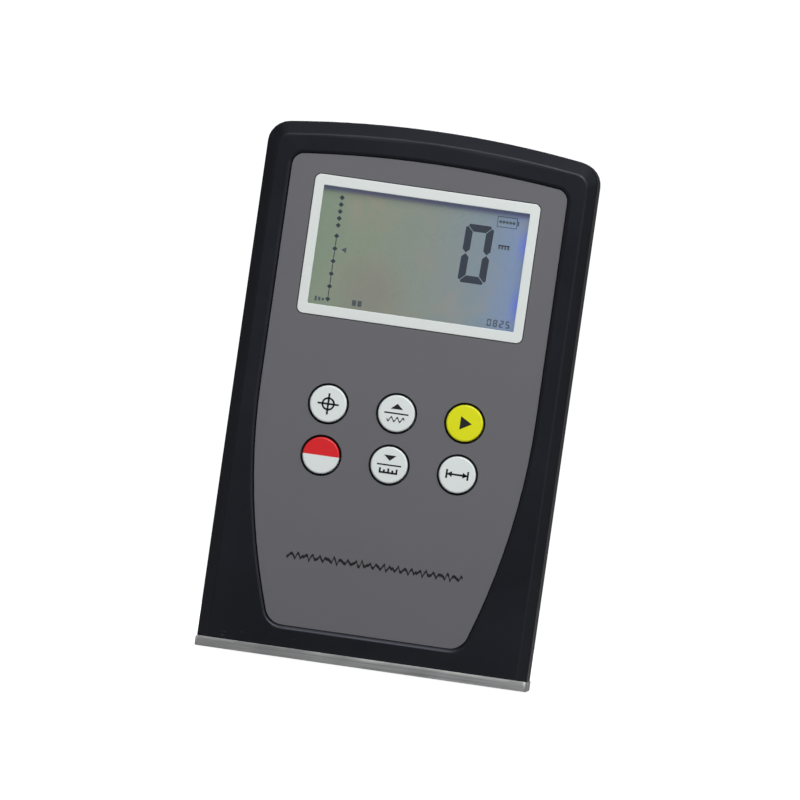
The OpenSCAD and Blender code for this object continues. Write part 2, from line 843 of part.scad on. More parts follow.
// Countersunk screw with a cross recess in its head, standing head down
module flat_screw(l) {
    difference() {
        countersunk(base_screw_d, base_head_d, base_head_h, head_sink, head_sink + l, 0);
        cross_recess(base_head_d, head_sink + base_head_h / 2);
    }
}

module base_screws() {
    color("silver") at_base_screws() flat_screw(base_screw_l);
}

module bracket_screws() {
    color("silver") at_bracket_screws() flat_screw(base_t + bracket_t - head_sink);
}

// Bracket that carries the drive: a flange, a portal by the gearbox and an upright at the far end
module drive_bracket() {
    color("lightsteelblue") difference() {
        union() {
            span([-flange_x, -flange_y, z_case], [flange_x, flange_y, z_bracket]);
            span([flange_x - over, -upright_w / 2, z_case], [x_upright_end, upright_w / 2, z_bracket]);
            span([x_portal, -portal_y, z_case], [x_portal + bracket_t, portal_y, z_bracket_top]);
            span([x_upright, -upright_w / 2, z_case], [x_upright_end, upright_w / 2, z_bracket_top]);
        }
        span([x_slot - window_x, -window_y, z_case - over], [x_slot + window_x, window_y, z_arch]);
        for (z = [z_low_rod, z_high_rod]) translate([0, 0, z])
            bar_x(rod_d + 2 * snug, x_portal - over, x_upright_end + over);
        translate([0, 0, z_screw]) {
            bar_x(bush_d, x_portal - over, x_portal + bracket_t + over);
            bar_x(bush_d + 2 * snug, x_upright - over, x_upright_end + over);
            for (z = [-gearbox_screw_z, gearbox_screw_z]) translate([0, 0, z])
                bar_x(gearbox_screw_d + 2 * screw_fit, x_portal - over, x_portal + bracket_t + over);
        }
        at_bracket_screws() bar_z(base_screw_d + 2 * screw_fit, z_case - over, z_bracket + over);
    }
}

// Small motor with two flats
module motor() {
    x_end = x_portal - gearbox_l;
    color("silver") translate([0, 0, z_screw]) union() {
        intersection() {
            bar_x(motor_d, x_motor, x_end);
            span([x_motor, -motor_flat / 2, -motor_d], [x_end, motor_flat / 2, motor_d]);
        }
        bar_x(motor_boss_d, x_motor - motor_boss_l, x_motor + over);
    }
}

// Reduction gearbox
module gearbox() {
    color("goldenrod") translate([0, 0, z_screw]) difference() {
        span([x_portal - gearbox_l, -motor_flat / 2, -motor_d / 2], [x_portal, motor_flat / 2, motor_d / 2]);
        bar_x(screw_d + 2 * running, x_portal - shaft_in - shaft_gap, x_portal + over);
        for (z = [-gearbox_screw_z, gearbox_screw_z]) translate([0, 0, z])
            bar_x(gearbox_screw_d + 2 * screw_fit, x_portal - gearbox_screw_l - shaft_gap, x_portal + over);
    }
}

module gearbox_screws() {
    x_head = x_portal + bracket_t;
    color("silver") for (z = [-gearbox_screw_z, gearbox_screw_z]) translate([0, 0, z_screw + z]) {
        bar_x(gearbox_screw_d, x_portal - gearbox_screw_l, x_head + gearbox_head_h / 2);
        bar_x(gearbox_head_d, x_head, x_head + gearbox_head_h);
    }
}

module motor_shaft() {
    color("silver") translate([0, 0, z_screw]) bar_x(screw_d, x_portal - shaft_in, x_screw - shaft_gap);
}

module shaft_coupling() {
    color("goldenrod") translate([0, 0, z_screw]) difference() {
        bar_x(coupling_d, x_coupling, x_coupling + coupling_l);
        bar_x(screw_d + 2 * snug, x_coupling - over, x_coupling + coupling_l + over);
    }
}

module lead_screw() {
    color("silver") translate([0, 0, z_screw]) union() {
        bar_x(screw_d, x_screw, x_upright - shoulder_gap);
        bar_x(journal_d, x_upright - over, x_upright_end + journal_out);
    }
}

// Bush that carries the lead screw's far end
module screw_bush() {
    color("goldenrod") translate([0, 0, z_screw]) difference() {
        bar_x(bush_d, x_upright, x_upright_end);
        bar_x(journal_d + 2 * running, x_upright - over, x_upright_end + over);
    }
}

module guide_rod(z) {
    color("silver") translate([0, 0, z]) bar_x(rod_d, x_portal, x_upright_end);
}

// Carriage on the two rods, with two ears for the pickup's pivot
module carriage() {
    x0 = carriage_x - carriage_l / 2;
    x1 = carriage_x + carriage_l / 2;
    ear_in = pickup_w / 2 + ear_gap;
    z_ear = pivot_z - ear_l / 2;
    color("lightslategray") difference() {
        union() {
            span([x0, -carriage_w / 2, z_carriage], [x1, carriage_w / 2, z_carriage_top]);
            for (y = [-carriage_w / 2, ear_in]) translate([pivot_x - ear_l / 2, y, z_ear])
                cube([ear_l, carriage_w / 2 - ear_in, z_carriage - z_ear]);
        }
        for (z = [z_low_rod, z_high_rod]) translate([0, 0, z])
            bar_x(rod_d + 2 * running, x0 - over, x1 + over);
        translate([0, 0, z_screw]) bar_x(nut_d + 2 * snug, x0 - over, x1 + over);
        translate([pivot_x, 0, pivot_z]) bar_y(pivot_d + 2 * snug, -carriage_w, carriage_w);
    }
}

// Flanged nut in the carriage
module drive_nut() {
    x0 = carriage_x - carriage_l / 2;
    color("goldenrod") translate([0, 0, z_screw]) difference() {
        union() {
            bar_x(nut_d, x0, x0 + carriage_l - nut_back);
            bar_x(nut_flange_d, x0 - nut_flange_t, x0);
        }
        bar_x(screw_d + 2 * running, x0 - over - nut_flange_t, x0 + carriage_l + over);
    }
}

module pickup_pin() {
    color("silver") translate([pivot_x, 0, pivot_z]) bar_y(pivot_d, -carriage_w / 2, carriage_w / 2);
}

// Pickup that floats on its pivot, hollow below for the stylus arm
module pickup_body() {
    x1 = pivot_x + pickup_nose;
    x0 = x1 - pickup_l;
    room_y = arm_w / 2 + arm_room;
    color("lightslategray") difference() {
        span([x0, -pickup_w / 2, z_pickup], [x1, pickup_w / 2, z_pickup_top]);
        span([stylus_x - 2 * room_y, -room_y, z_pickup - over],
             [stylus_pin_x + arm_tail + arm_room, room_y, arm_z + arm_h + arm_room]);
        translate([pivot_x, 0, pivot_z]) bar_y(pivot_d + 2 * running, -pickup_w, pickup_w);
        translate([stylus_pin_x, 0, arm_z])
            bar_y(stylus_pin_d + 2 * snug, -pickup_w, pickup_w / 2 - pin_wall);
    }
}

// Rounded foot under the pickup, with the stylus in its middle
module skid() {
    r = skid_d / 2;
    color("firebrick") translate([stylus_x, 0, 0]) rotate_extrude() polygon(concat(
        [[skid_bore / 2, work_gap], [r - skid_round, work_gap]],
        inner_arc([r - skid_round, work_gap + skid_round], skid_round, -90, 0, 5),
        [[r, work_gap + skid_round], [r, z_pickup], [skid_bore / 2, z_pickup]]
    ));
}

module stylus_pin() {
    color("silver") translate([stylus_pin_x, 0, arm_z])
        bar_y(stylus_pin_d, -pickup_w / 2, pickup_w / 2 - pin_wall);
}

// Rocking arm that carries the stylus
module stylus_arm() {
    color("silver") difference() {
        union() {
            span([stylus_x - arm_w / 2, -arm_w / 2, arm_z - arm_h / 2],
                 [stylus_pin_x + arm_tail, arm_w / 2, arm_z + arm_h / 2]);
            translate([stylus_pin_x, 0, arm_z]) bar_y(arm_hub_d, -arm_w / 2, arm_w / 2);
            translate([stylus_x, 0, 0]) bar_z(point_d, tip_top, arm_z);
        }
        translate([stylus_pin_x, 0, arm_z]) bar_y(stylus_pin_d + 2 * running, -pickup_w, pickup_w);
    }
}

// Diamond point
module stylus_tip() {
    color("dimgray") translate([stylus_x, 0, work_gap])
        cylinder(d1 = point_flat, d2 = tip_d, h = tip_top - work_gap);
}

front_cover();
rear_cover();
battery_door();
base_plate();
front_panel();
display_frame();
display_lens();
lcd_glass();
backlight();
for (key = KEYS) {
    key_cap(key);
    plunger(key);
}
key_switches();
circuit_board();
board_chips();
wire_header();
for (i = [1:cell_count]) battery(i);
battery_springs();
battery_contacts();
case_screws();
base_screws();
board_screws();
bracket_screws();
gearbox_screws();
drive_bracket();
motor();
gearbox();
motor_shaft();
shaft_coupling();
lead_screw();
screw_bush();
guide_rod(z_low_rod);  // lower_guide_rod
guide_rod(z_high_rod);  // upper_guide_rod
carriage();
drive_nut();
pickup_pin();
pickup_body();
skid();
stylus_pin();
stylus_arm();
stylus_tip();
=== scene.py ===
"""Looks of a hand-held surface roughness tester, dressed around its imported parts.

Metres, in the frame of the parts: +Z up, the display faces -Y, origin under the middle of the base plate.
"""

import json
from math import cos, pi, radians, sin, tan

import bpy
from mathutils import Matrix, Vector


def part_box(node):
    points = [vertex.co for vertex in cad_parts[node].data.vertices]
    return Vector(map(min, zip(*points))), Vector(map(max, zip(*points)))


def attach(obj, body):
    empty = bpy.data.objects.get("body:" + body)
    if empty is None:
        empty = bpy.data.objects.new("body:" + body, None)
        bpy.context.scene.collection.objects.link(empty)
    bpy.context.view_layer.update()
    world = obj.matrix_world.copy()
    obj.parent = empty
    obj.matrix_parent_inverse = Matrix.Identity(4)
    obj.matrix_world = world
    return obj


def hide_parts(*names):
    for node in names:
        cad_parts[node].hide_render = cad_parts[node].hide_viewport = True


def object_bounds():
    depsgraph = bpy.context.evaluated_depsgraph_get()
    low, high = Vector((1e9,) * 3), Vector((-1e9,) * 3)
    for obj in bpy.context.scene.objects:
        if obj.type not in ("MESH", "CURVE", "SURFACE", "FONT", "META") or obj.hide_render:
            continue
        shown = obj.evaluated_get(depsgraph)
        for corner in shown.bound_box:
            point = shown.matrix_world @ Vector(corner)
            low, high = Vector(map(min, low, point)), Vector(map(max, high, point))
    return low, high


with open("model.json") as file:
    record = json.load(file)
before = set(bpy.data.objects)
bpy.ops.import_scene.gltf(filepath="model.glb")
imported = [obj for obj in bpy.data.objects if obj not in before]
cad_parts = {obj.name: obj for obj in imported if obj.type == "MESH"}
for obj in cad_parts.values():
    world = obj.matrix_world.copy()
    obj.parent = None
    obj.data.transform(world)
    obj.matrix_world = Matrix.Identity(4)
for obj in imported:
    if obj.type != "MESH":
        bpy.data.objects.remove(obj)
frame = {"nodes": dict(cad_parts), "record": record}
cad_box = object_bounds()

MM = 0.001
RECORD = frame["record"]
BODY_OF = {node: body for body, nodes in RECORD["behaviour"]["bodies"].items() for node in nodes}
SLOT_OF = {part["node"]: part["material_slot"] for part in RECORD["subparts"]}
KEY_NAMES = ("calibrate", "up", "start", "power", "down", "cutoff")

# View of the photograph: its tilt, the width that it takes in, where it was taken from, and how far it
# aims from the object's middle
PHOTO_TILT = radians(8.16)
VIEW_WIDTH = 180.4 * MM
VIEW_DISTANCE = 4.0
VIEW_RISE = radians(0.2)
VIEW_SIDE = radians(2.4)
VIEW_AIM = Vector((-0.15, 0.0, -0.05)) * MM
SENSOR = 36.0

# Stage: a floor just under the base plate and its glow, how strongly the surround lights the object, and
# how bright the surround itself looks
FLOOR_RADIUS = 0.6
FLOOR_DROP = 0.2 * MM
FLOOR_GLOW = 0.85
AMBIENT = 0.13
SURROUND_WHITE = 1.05

# Lights, all aimed at the object's middle: place, width and height, and power
LIGHTS = {
    "key_light": ((0.17, -0.52, 0.5), (0.46, 0.28), 4.0),
    "top_light": ((0.0, 0.1, 1.1), (1.4, 1.2), 2.2),
    "right_light": ((0.95, -0.5, 0.35), (0.6, 0.6), 1.8),
    "left_light": ((-1.0, -0.4, 0.3), (0.6, 0.6), 0.7),
    "back_light": ((-0.22, 0.6, 0.42), (0.5, 0.4), 5.0),
}

# Display: its painted glow, which evens out its shading, the widths of its frame's uprights and rails,
# and how far its marks stand to the right of the frame's middle
LCD_PAINTED_GLOW = 0.78
FRAME_RIM_X = 2.2 * MM
FRAME_RIM_Z = 2.4 * MM
MARKS_SHIFT = 0.4 * MM

# Mesh limits: corners this close are one, faces this flat are one, edges sharper than this are broken in
# so many steps, and edges softer than the last angle look smooth
WELD = 0.001 * MM
FLAT_ANGLE = radians(0.4)
BREAK_ANGLE = radians(32)
BREAK_STEPS = 2
SMOOTH_ANGLE = radians(38)

# Thread of the lead screw: its pitch and depth, one turn's outline as shares of both, the steps of a turn,
# how far it starts before its first cut, and its own mesh limits
THREAD_PITCH = 1.0 * MM
THREAD_DEPTH = 0.28 * MM
THREAD_OUTLINE = ((0.0, 0.0), (0.12, 0.0), (0.44, 1.0), (0.56, 1.0), (0.88, 0.0), (1.0, 0.0))
THREAD_STEPS = 32
THREAD_LEAD_IN = 1.37 * THREAD_PITCH
THREAD_WELD = 0.002 * MM
THREAD_CUT = 0.0001 * MM

# Thickness of printed ink, and how far it stands clear of what it is printed on
INK = 0.03 * MM
INK_GAP = 0.005 * MM

# Digits of the display: their lean, and the segments that each one lights
DIGIT_LEAN = radians(1.5)
SEGMENTS = {"0": "abcdef", "2": "abdeg", "5": "acdfg", "8": "abcdefg"}

# Signs of the keys: width of their lines, and in millimetres how high the mark under a rule stands
SIGN_LINE = 0.42 * MM
SIGN_BELOW = -1.35


def srgb(red, green, blue):
    """A colour of 0 to 255, as the linear colour that a shader takes."""
    def linear(value):
        value /= 255
        return value / 12.92 if value <= 0.04045 else ((value + 0.055) / 1.055) ** 2.4
    return (linear(red), linear(green), linear(blue), 1.0)


def shades(colour, shift):
    """A darker and a lighter shade of a colour, each by that share of it."""
    darker = tuple(part * (1 - shift) for part in colour[:3]) + (1.0,)
    lighter = tuple(min(1.0, part * (1 + shift)) for part in colour[:3]) + (1.0,)
    return darker, lighter


# Shader node helpers

def add_node(tree, kind, **values):
    """A new node of a shader tree, with the named inputs set."""
    node = tree.nodes.new(kind)
    for name, value in values.items():
        node.inputs[name.replace("_", " ")].default_value = value
    return node


def feed(tree, socket, value):
    """Gives an input a constant, or links it to another node's socket."""
    if isinstance(value, bpy.types.NodeSocket):
        tree.links.new(value, socket)
    else:
        socket.default_value = value


def mix_colour(tree, factor, first, second):
    """Mixes two colours, each a constant or a socket, and returns the result's socket."""
    node = tree.nodes.new("ShaderNodeMix")
    node.data_type = "RGBA"
    for socket, value in ((node.inputs[0], factor), (node.inputs[6], first), (node.inputs[7], second)):
        feed(tree, socket, value)
    return node.outputs[2]


def remap(tree, value, low, high, to_low=0.0, to_high=1.0):
    """Spreads a value from one range to another, held at both ends."""
    node = add_node(tree, "ShaderNodeMapRange", From_Min=low, From_Max=high, To_Min=to_low, To_Max=to_high)
    tree.links.new(value, node.inputs["Value"])
    return node.outputs["Result"]


def calculate(tree, operation, first, second=0.0):
    """A Math node on one or two values, each a constant or a socket."""
    node = tree.nodes.new("ShaderNodeMath")
    node.operation = operation
    feed(tree, node.inputs[0], first)
    feed(tree, node.inputs[1], second)
    return node.outputs[0]


def product(tree, first, *others):
    """All these masks multiplied together."""
    for other in others:
        first = calculate(tree, "MULTIPLY", first, other)
    return first


def new_group(name, *outputs):
    """An empty shader node group that takes a place and a scale, and its input and output nodes."""
    group = bpy.data.node_groups.new(name, "ShaderNodeTree")
    group.interface.new_socket(name="Vector", in_out="INPUT", socket_type="NodeSocketVector")
    group.interface.new_socket(name="Scale", in_out="INPUT", socket_type="NodeSocketFloat")
    for label in outputs:
        group.interface.new_socket(name=label, in_out="OUTPUT", socket_type="NodeSocketFloat")
    return group, group.nodes.new("NodeGroupInput"), group.nodes.new("NodeGroupOutput")


def make_moulded_grain():
    """Spark-eroded texture of a moulding: fine pits, and a slow change of tone."""
    group, given, out = new_group("moulded_grain", "Height", "Tone")
    fine = add_node(group, "ShaderNodeTexNoise", Detail=3.0, Roughness=0.6)
    slow = add_node(group, "ShaderNodeTexNoise", Scale=55.0, Detail=4.0, Roughness=0.6)
    group.links.new(given.outputs["Vector"], fine.inputs["Vector"])
    group.links.new(given.outputs["Scale"], fine.inputs["Scale"])
    group.links.new(given.outputs["Vector"], slow.inputs["Vector"])
    group.links.new(fine.outputs["Fac"], out.inputs["Height"])
    group.links.new(slow.outputs["Fac"], out.inputs["Tone"])
    return group


def make_brushed_lines():
    """Fine parallel scratches along X, as on brushed or drawn metal."""
    group, given, out = new_group("brushed_lines", "Height", "Tone")
    stretch = add_node(group, "ShaderNodeMapping", Scale=(0.02, 1.0, 1.0))
    lines = add_node(group, "ShaderNodeTexNoise", Detail=5.0, Roughness=0.7)
    group.links.new(given.outputs["Vector"], stretch.inputs["Vector"])
    group.links.new(stretch.outputs["Vector"], lines.inputs["Vector"])
    group.links.new(given.outputs["Scale"], lines.inputs["Scale"])
    group.links.new(lines.outputs["Fac"], out.inputs["Height"])
    group.links.new(remap(group, lines.outputs["Fac"], 0.3, 0.7), out.inputs["Tone"])
    return group


def make_handling_smears():
    """Broad, soft patches where hands have polished or dulled a surface."""
    group, given, out = new_group("handling_smears", "Mask")
    patches = add_node(group, "ShaderNodeTexNoise", Detail=6.0, Roughness=0.55, Distortion=0.6)
    group.links.new(given.outputs["Vector"], patches.inputs["Vector"])
    group.links.new(given.outputs["Scale"], patches.inputs["Scale"])
    group.links.new(remap(group, patches.outputs["Fac"], 0.35, 0.65), out.inputs["Mask"])
    return group


MOULDED_GRAIN = make_moulded_grain()
BRUSHED_LINES = make_brushed_lines()
HANDLING_SMEARS = make_handling_smears()


class Finish:
    """One procedural material, built round its Principled shader."""

    def __init__(self, name, colour, roughness, metallic=0.0, specular=0.5):
        self.material = bpy.data.materials.new(name)
        self.material.use_nodes = True
        self.tree = self.material.node_tree
        self.shader = self.tree.nodes["Principled BSDF"]
        self.shader.inputs["Base Color"].default_value = colour
        self.shader.inputs["Roughness"].default_value = roughness
        self.shader.inputs["Metallic"].default_value = metallic
        self.shader.inputs["Specular IOR Level"].default_value = specular
        self.place = self.tree.nodes.new("ShaderNodeTexCoord").outputs["Object"]

    def link(self, value, socket):
        """Feeds one of the shader's inputs."""
        self.tree.links.new(value, self.shader.inputs[socket])

    def paint_over(self, mask, colour):
        """Lays a colour over the one so far, as strongly as a mask says."""
        so_far = self.shader.inputs["Base Color"].links[0].from_socket
        self.link(mix_colour(self.tree, mask, so_far, colour), "Base Color")

    def effect(self, group, scale):
        """Places a shared effect in this material."""
        node = self.tree.nodes.new("ShaderNodeGroup")
        node.node_tree = group
        node.inputs["Scale"].default_value = scale
        self.tree.links.new(self.place, node.inputs["Vector"])
        return node

    def bump(self, height, depth):
        """Raises the surface by a height of 0 to 1, up to that depth."""
        node = add_node(self.tree, "ShaderNodeBump", Strength=1.0, Distance=depth)
        self.tree.links.new(height, node.inputs["Height"])
        self.link(node.outputs["Normal"], "Normal")

    def axes(self):
        """The three object coordinates, by name."""
        node = self.tree.nodes.new("ShaderNodeSeparateXYZ")
        self.tree.links.new(self.place, node.inputs["Vector"])
        return node.outputs

    def varied(self, mask, socket, low, high):
        """Lets a mask move one of the shader's values between two limits."""
        self.link(remap(self.tree, mask, 0.0, 1.0, low, high), socket)


def moulded(name, colour, roughness, grain=7000.0, depth=0.012 * MM, shift=0.12, specular=0.5):
    """Moulded plastic: fine grain, a slow change of tone, and hand-polished patches."""
    spread = 0.05
    look = Finish(name, colour, roughness, specular=specular)
    pits = look.effect(MOULDED_GRAIN, grain)
    smears = look.effect(HANDLING_SMEARS, 45.0)
    look.bump(pits.outputs["Height"], depth)
    look.link(mix_colour(look.tree, pits.outputs["Tone"], *shades(colour, shift)), "Base Color")
    look.varied(smears.outputs["Mask"], "Roughness", roughness - spread, roughness + spread)
    return look


def metal(name, colour, roughness, lines=9000.0, depth=0.004 * MM, shift=0.12):
    """Drawn or milled metal with fine lines."""
    polish, dulling = 0.05, 0.07
    look = Finish(name, colour, roughness, metallic=1.0)
    brush = look.effect(BRUSHED_LINES, lines)
    smears = look.effect(HANDLING_SMEARS, 80.0)
    look.link(mix_colour(look.tree, brush.outputs["Tone"], *shades(colour, shift)), "Base Color")
    look.varied(smears.outputs["Mask"], "Roughness", roughness - polish, roughness + dulling)
    look.bump(brush.outputs["Height"], depth)
    return look


def make_case_black():
    """Satin black moulding, scuffed low on the front, with a painted highlight along the lower lip of the
    panel's recess.
    """
    look = moulded("case_black", srgb(12, 12, 16), 0.42, grain=6000.0, depth=0.012 * MM, specular=0.4)
    look.shader.inputs["Specular Tint"].default_value = (0.78, 0.83, 1.0, 1.0)
    tree = look.tree
    axes = look.axes()
    case_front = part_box("front_cover")[0].y
    panel_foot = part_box("front_panel")[0].z

    # Scuffs, strongest at the foot and towards the left corner
    stretched = add_node(tree, "ShaderNodeMapping", Scale=(0.6, 1.0, 2.4))
    scratch = add_node(tree, "ShaderNodeTexNoise", Scale=900.0, Detail=6.0, Roughness=0.75)
    tree.links.new(look.place, stretched.inputs["Vector"])
    tree.links.new(stretched.outputs["Vector"], scratch.inputs["Vector"])
    worn = remap(tree, scratch.outputs["Fac"], 0.6, 0.72)
    low = remap(tree, axes["Z"], 7 * MM, 2 * MM)
    left = remap(tree, axes["X"], -8 * MM, -24 * MM)
    front = remap(tree, axes["Y"], case_front + 0.5 * MM, case_front + 0.1 * MM)
    look.paint_over(product(tree, worn, low, left, front), srgb(88, 88, 92))

    # Painted highlight along the middle of the lip between the foot of the panel and the foot of the case
    above = remap(tree, axes["Z"], panel_foot - 1.0 * MM, panel_foot - 0.75 * MM)
    below = remap(tree, axes["Z"], panel_foot + 0.6 * MM, panel_foot + 0.3 * MM)
    inner = remap(tree, calculate(tree, "ABSOLUTE", axes["X"]), 21.5 * MM, 18 * MM)
    outer_face = remap(tree, axes["Y"], case_front + 2.0 * MM, case_front + 1.5 * MM)
    look.paint_over(product(tree, above, below, inner, outer_face), srgb(52, 52, 58))
    return look.material


def make_base_metal():
    """Brushed plate, with a painted highlight in streaks along its upper edge."""
    look = metal("base_metal", srgb(194, 195, 196), 0.4, lines=2600.0, shift=0.24)
    tree = look.tree
    plate_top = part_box("base_plate")[1].z
    # Painted highlight in streaks along the plate's upper edge
    edge = remap(tree, look.axes()["Z"], plate_top - 0.7 * MM, plate_top - 0.3 * MM)
    noise = add_node(tree, "ShaderNodeTexNoise", Scale=60.0, Detail=4.0, Roughness=0.6)
    tree.links.new(look.place, noise.inputs["Vector"])
    highlight_streaks = remap(tree, noise.outputs["Fac"], 0.4, 0.64)
    look.paint_over(product(tree, edge, highlight_streaks), srgb(240, 240, 238))
    return look.material


def make_lcd_glass(low, high):
    """Liquid crystal glass with a painted glow over its shading: green grey on the left, blue to the right,
    with warm smears.
    """
    look = Finish("lcd_glass", srgb(132, 140, 132), 0.3, specular=0.3)
    tree = look.tree
    axes = look.axes()
    middle = (low + high) / 2

    # Cast of colour from left to right
    ramp = tree.nodes.new("ShaderNodeValToRGB")
    stops = (
        (0.0, srgb(128, 143, 125)),
        (0.25, srgb(133, 143, 127)),
        (0.55, srgb(133, 142, 136)),
        (0.8, srgb(128, 143, 153)),
        (1.0, srgb(125, 145, 181)),
    )
    while len(ramp.color_ramp.elements) < len(stops):
        ramp.color_ramp.elements.new(0.5)
    for element, (position, colour) in zip(ramp.color_ramp.elements, stops):
        element.position = position
        element.color = colour
    tree.links.new(remap(tree, axes["X"], low.x, high.x), ramp.inputs["Fac"])
    smears = look.effect(HANDLING_SMEARS, 90.0)
    warm = remap(tree, smears.outputs["Mask"], 0.45, 1.0, 0.0, 0.4)
    tinted = mix_colour(tree, warm, ramp.outputs["Color"], srgb(152, 142, 130))

    # Warm cloud low on the left
    across = calculate(tree, "SUBTRACT", axes["X"], middle.x - 10 * MM)
    along = calculate(tree, "SUBTRACT", axes["Z"], middle.z - 9 * MM)
    spread = calculate(tree, "ADD", product(tree, across, across), product(tree, along, along))
    cloud = remap(tree, calculate(tree, "SQRT", spread), 10 * MM, 2 * MM, 0.0, 0.8)
    tinted = mix_colour(tree, cloud, tinted, srgb(132, 131, 123))

    # Blue shine at the right edge, in two patches, each at a height from the middle and with a reach
    edge = remap(tree, axes["X"], high.x - 2.2 * MM, high.x + 0.4 * MM)
    for height, reach in ((6.0 * MM, 4.2 * MM), (-7.6 * MM, 5.0 * MM)):
        away = calculate(tree, "ABSOLUTE", calculate(tree, "SUBTRACT", axes["Z"], middle.z + height))
        patch = product(tree, edge, remap(tree, away, reach, 0.0))
        tinted = mix_colour(tree, patch, tinted, srgb(104, 122, 226))

    # Violet shade under the frame's upper edge
    upper = remap(tree, axes["Z"], high.z - 1.5 * MM, high.z - 0.5 * MM, 0.0, 0.85)
    shaded = mix_colour(tree, upper, tinted, srgb(80, 84, 116))

    # Painted glow: the glass is darker than the glow laid over it, which evens out its shading
    look.link(mix_colour(tree, 0.65, shaded, srgb(0, 0, 0)), "Base Color")
    look.link(shaded, "Emission Color")
    look.shader.inputs["Emission Strength"].default_value = LCD_PAINTED_GLOW
    look.varied(smears.outputs["Mask"], "Roughness", 0.24, 0.36)
    return look.material


def make_split_key(centre_z):
    """Key cap with a red upper half and a white lower half."""
    look = moulded("key_red_white", srgb(226, 233, 232), 0.36, grain=8000.0, depth=0.003 * MM, shift=0.03)
    blur = 0.06 * MM
    upper = remap(look.tree, look.axes()["Z"], centre_z - blur, centre_z + blur)
    look.paint_over(upper, srgb(220, 30, 37))
    return look.material


def make_cell_jacket(name, low_z, high_z, plus_up):
    """Printed jacket of a battery: dark body, warm band at the plus end, bare metal at both ends."""
    look = moulded(name, srgb(30, 31, 35), 0.28, grain=3000.0, depth=0.002 * MM, shift=0.05)
    tree = look.tree
    height = look.axes()["Z"]
    band, plus_bare, minus_bare, blur = 9 * MM, 1.25 * MM, 0.5 * MM, 0.05 * MM
    band_edge = high_z - band if plus_up else low_z + band
    towards_plus = blur if plus_up else -blur
    banded = remap(tree, height, band_edge - towards_plus, band_edge + towards_plus)
    look.paint_over(banded, srgb(186, 122, 62))
    top_edge = high_z - (plus_bare if plus_up else minus_bare)
    foot_edge = low_z + (minus_bare if plus_up else plus_bare)
    top = remap(tree, height, top_edge - blur, top_edge + blur)
    foot = remap(tree, height, foot_edge + blur, foot_edge - blur)
    bare = calculate(tree, "MAXIMUM", top, foot)
    look.paint_over(bare, srgb(190, 188, 182))
    look.link(bare, "Metallic")
    return look.material


def make_circuit_green():
    """Solder mask with copper tracks showing through."""
    look = moulded("circuit_green", srgb(24, 78, 44), 0.4, grain=6000.0, depth=0.003 * MM)
    tree = look.tree
    tracks = add_node(tree, "ShaderNodeTexBrick", Scale=260.0, Mortar_Size=0.06, Mortar_Smooth=0.2)
    turned = add_node(tree, "ShaderNodeMapping", Rotation=(radians(90), 0.0, 0.0))
    tree.links.new(look.place, turned.inputs["Vector"])
    tree.links.new(turned.outputs["Vector"], tracks.inputs["Vector"])
    look.paint_over(tracks.outputs["Fac"], srgb(46, 112, 66))
    return look.material


def make_lens_clear():
    """Polished window, thin enough to be seen through, with the faintest of smears."""
    look = Finish("lens_clear", srgb(46, 50, 54), 0.06)
    smears = look.effect(HANDLING_SMEARS, 60.0)
    look.varied(smears.outputs["Mask"], "Roughness", 0.04, 0.12)
    look.shader.inputs["Alpha"].default_value = 0.05
    return look.material


def make_ink(name, colour, roughness=0.5):
    """Printed ink with slightly uneven cover."""
    return moulded(name, colour, roughness, grain=5000.0, depth=0.001 * MM, shift=0.1, specular=0.3).material


def display_view():
    """Corners of the part of the display that shows inside its frame."""
    low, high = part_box("display_frame")
    rim = Vector((FRAME_RIM_X, 0.0, FRAME_RIM_Z))
    return low + rim, high - rim


def finishes():
    """A material for every slot of the record, and for the prints."""
    power_low, power_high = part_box("power_key")
    looks = {
        "case_black": make_case_black(),
        "base_metal": make_base_metal(),
        "panel_grey": moulded("panel_grey", srgb(103, 103, 108), 0.62, grain=9000.0,
                              depth=0.006 * MM, shift=0.04, specular=0.3).material,
        "frame_white": moulded("frame_white", srgb(224, 230, 228), 0.3, grain=7000.0,
                               depth=0.002 * MM, shift=0.02).material,
        "lens_clear": make_lens_clear(),
        "lcd": make_lcd_glass(*display_view()),
        "light_guide": moulded("light_guide", srgb(226, 228, 224), 0.3, shift=0.03).material,
        "key_white": moulded("key_white", srgb(226, 233, 232), 0.36, grain=8000.0,
                             depth=0.003 * MM, shift=0.03).material,
        "key_yellow": moulded("key_yellow", srgb(226, 228, 10), 0.36, grain=8000.0,
                              depth=0.003 * MM, shift=0.04).material,
        "key_red_white": make_split_key((power_low.z + power_high.z) / 2),
        "switch_black": moulded("switch_black", srgb(28, 28, 30), 0.5).material,
        "board_green": make_circuit_green(),
        "chip_black": moulded("chip_black", srgb(26, 26, 28), 0.55, grain=9000.0).material,
        "header_ivory": moulded("header_ivory", srgb(214, 206, 182), 0.45).material,
        "nickel": metal("nickel", srgb(206, 202, 194), 0.24, lines=4000.0).material,
        "screw_steel": metal("screw_steel", srgb(178, 178, 176), 0.32, lines=5000.0).material,
        "bright_steel": metal("bright_steel", srgb(200, 200, 202), 0.22, lines=6000.0).material,
        "drive_alloy": metal("drive_alloy", srgb(188, 190, 194), 0.38, lines=5000.0).material,
        "brass": metal("brass", srgb(196, 158, 82), 0.28, lines=5000.0).material,
        "skid_steel": metal("skid_steel", srgb(206, 206, 210), 0.1, lines=3000.0).material,
        "diamond": moulded("diamond", srgb(216, 222, 230), 0.06, depth=0.0005 * MM).material,
        "ink_black": make_ink("ink_black", srgb(26, 26, 29)),
        "ink_lcd": make_ink("ink_lcd", srgb(63, 70, 82), 0.4),
        "ink_lcd_faint": make_ink("ink_lcd_faint", srgb(88, 96, 104), 0.4),
    }
    for up, name in ((True, "cell_plus_up"), (False, "cell_plus_down")):
        low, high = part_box("battery_1" if up else "battery_2")
        looks[name] = make_cell_jacket(name, low.z, high.z, up)
    return looks


FINISHES = finishes()


# Mesh helpers

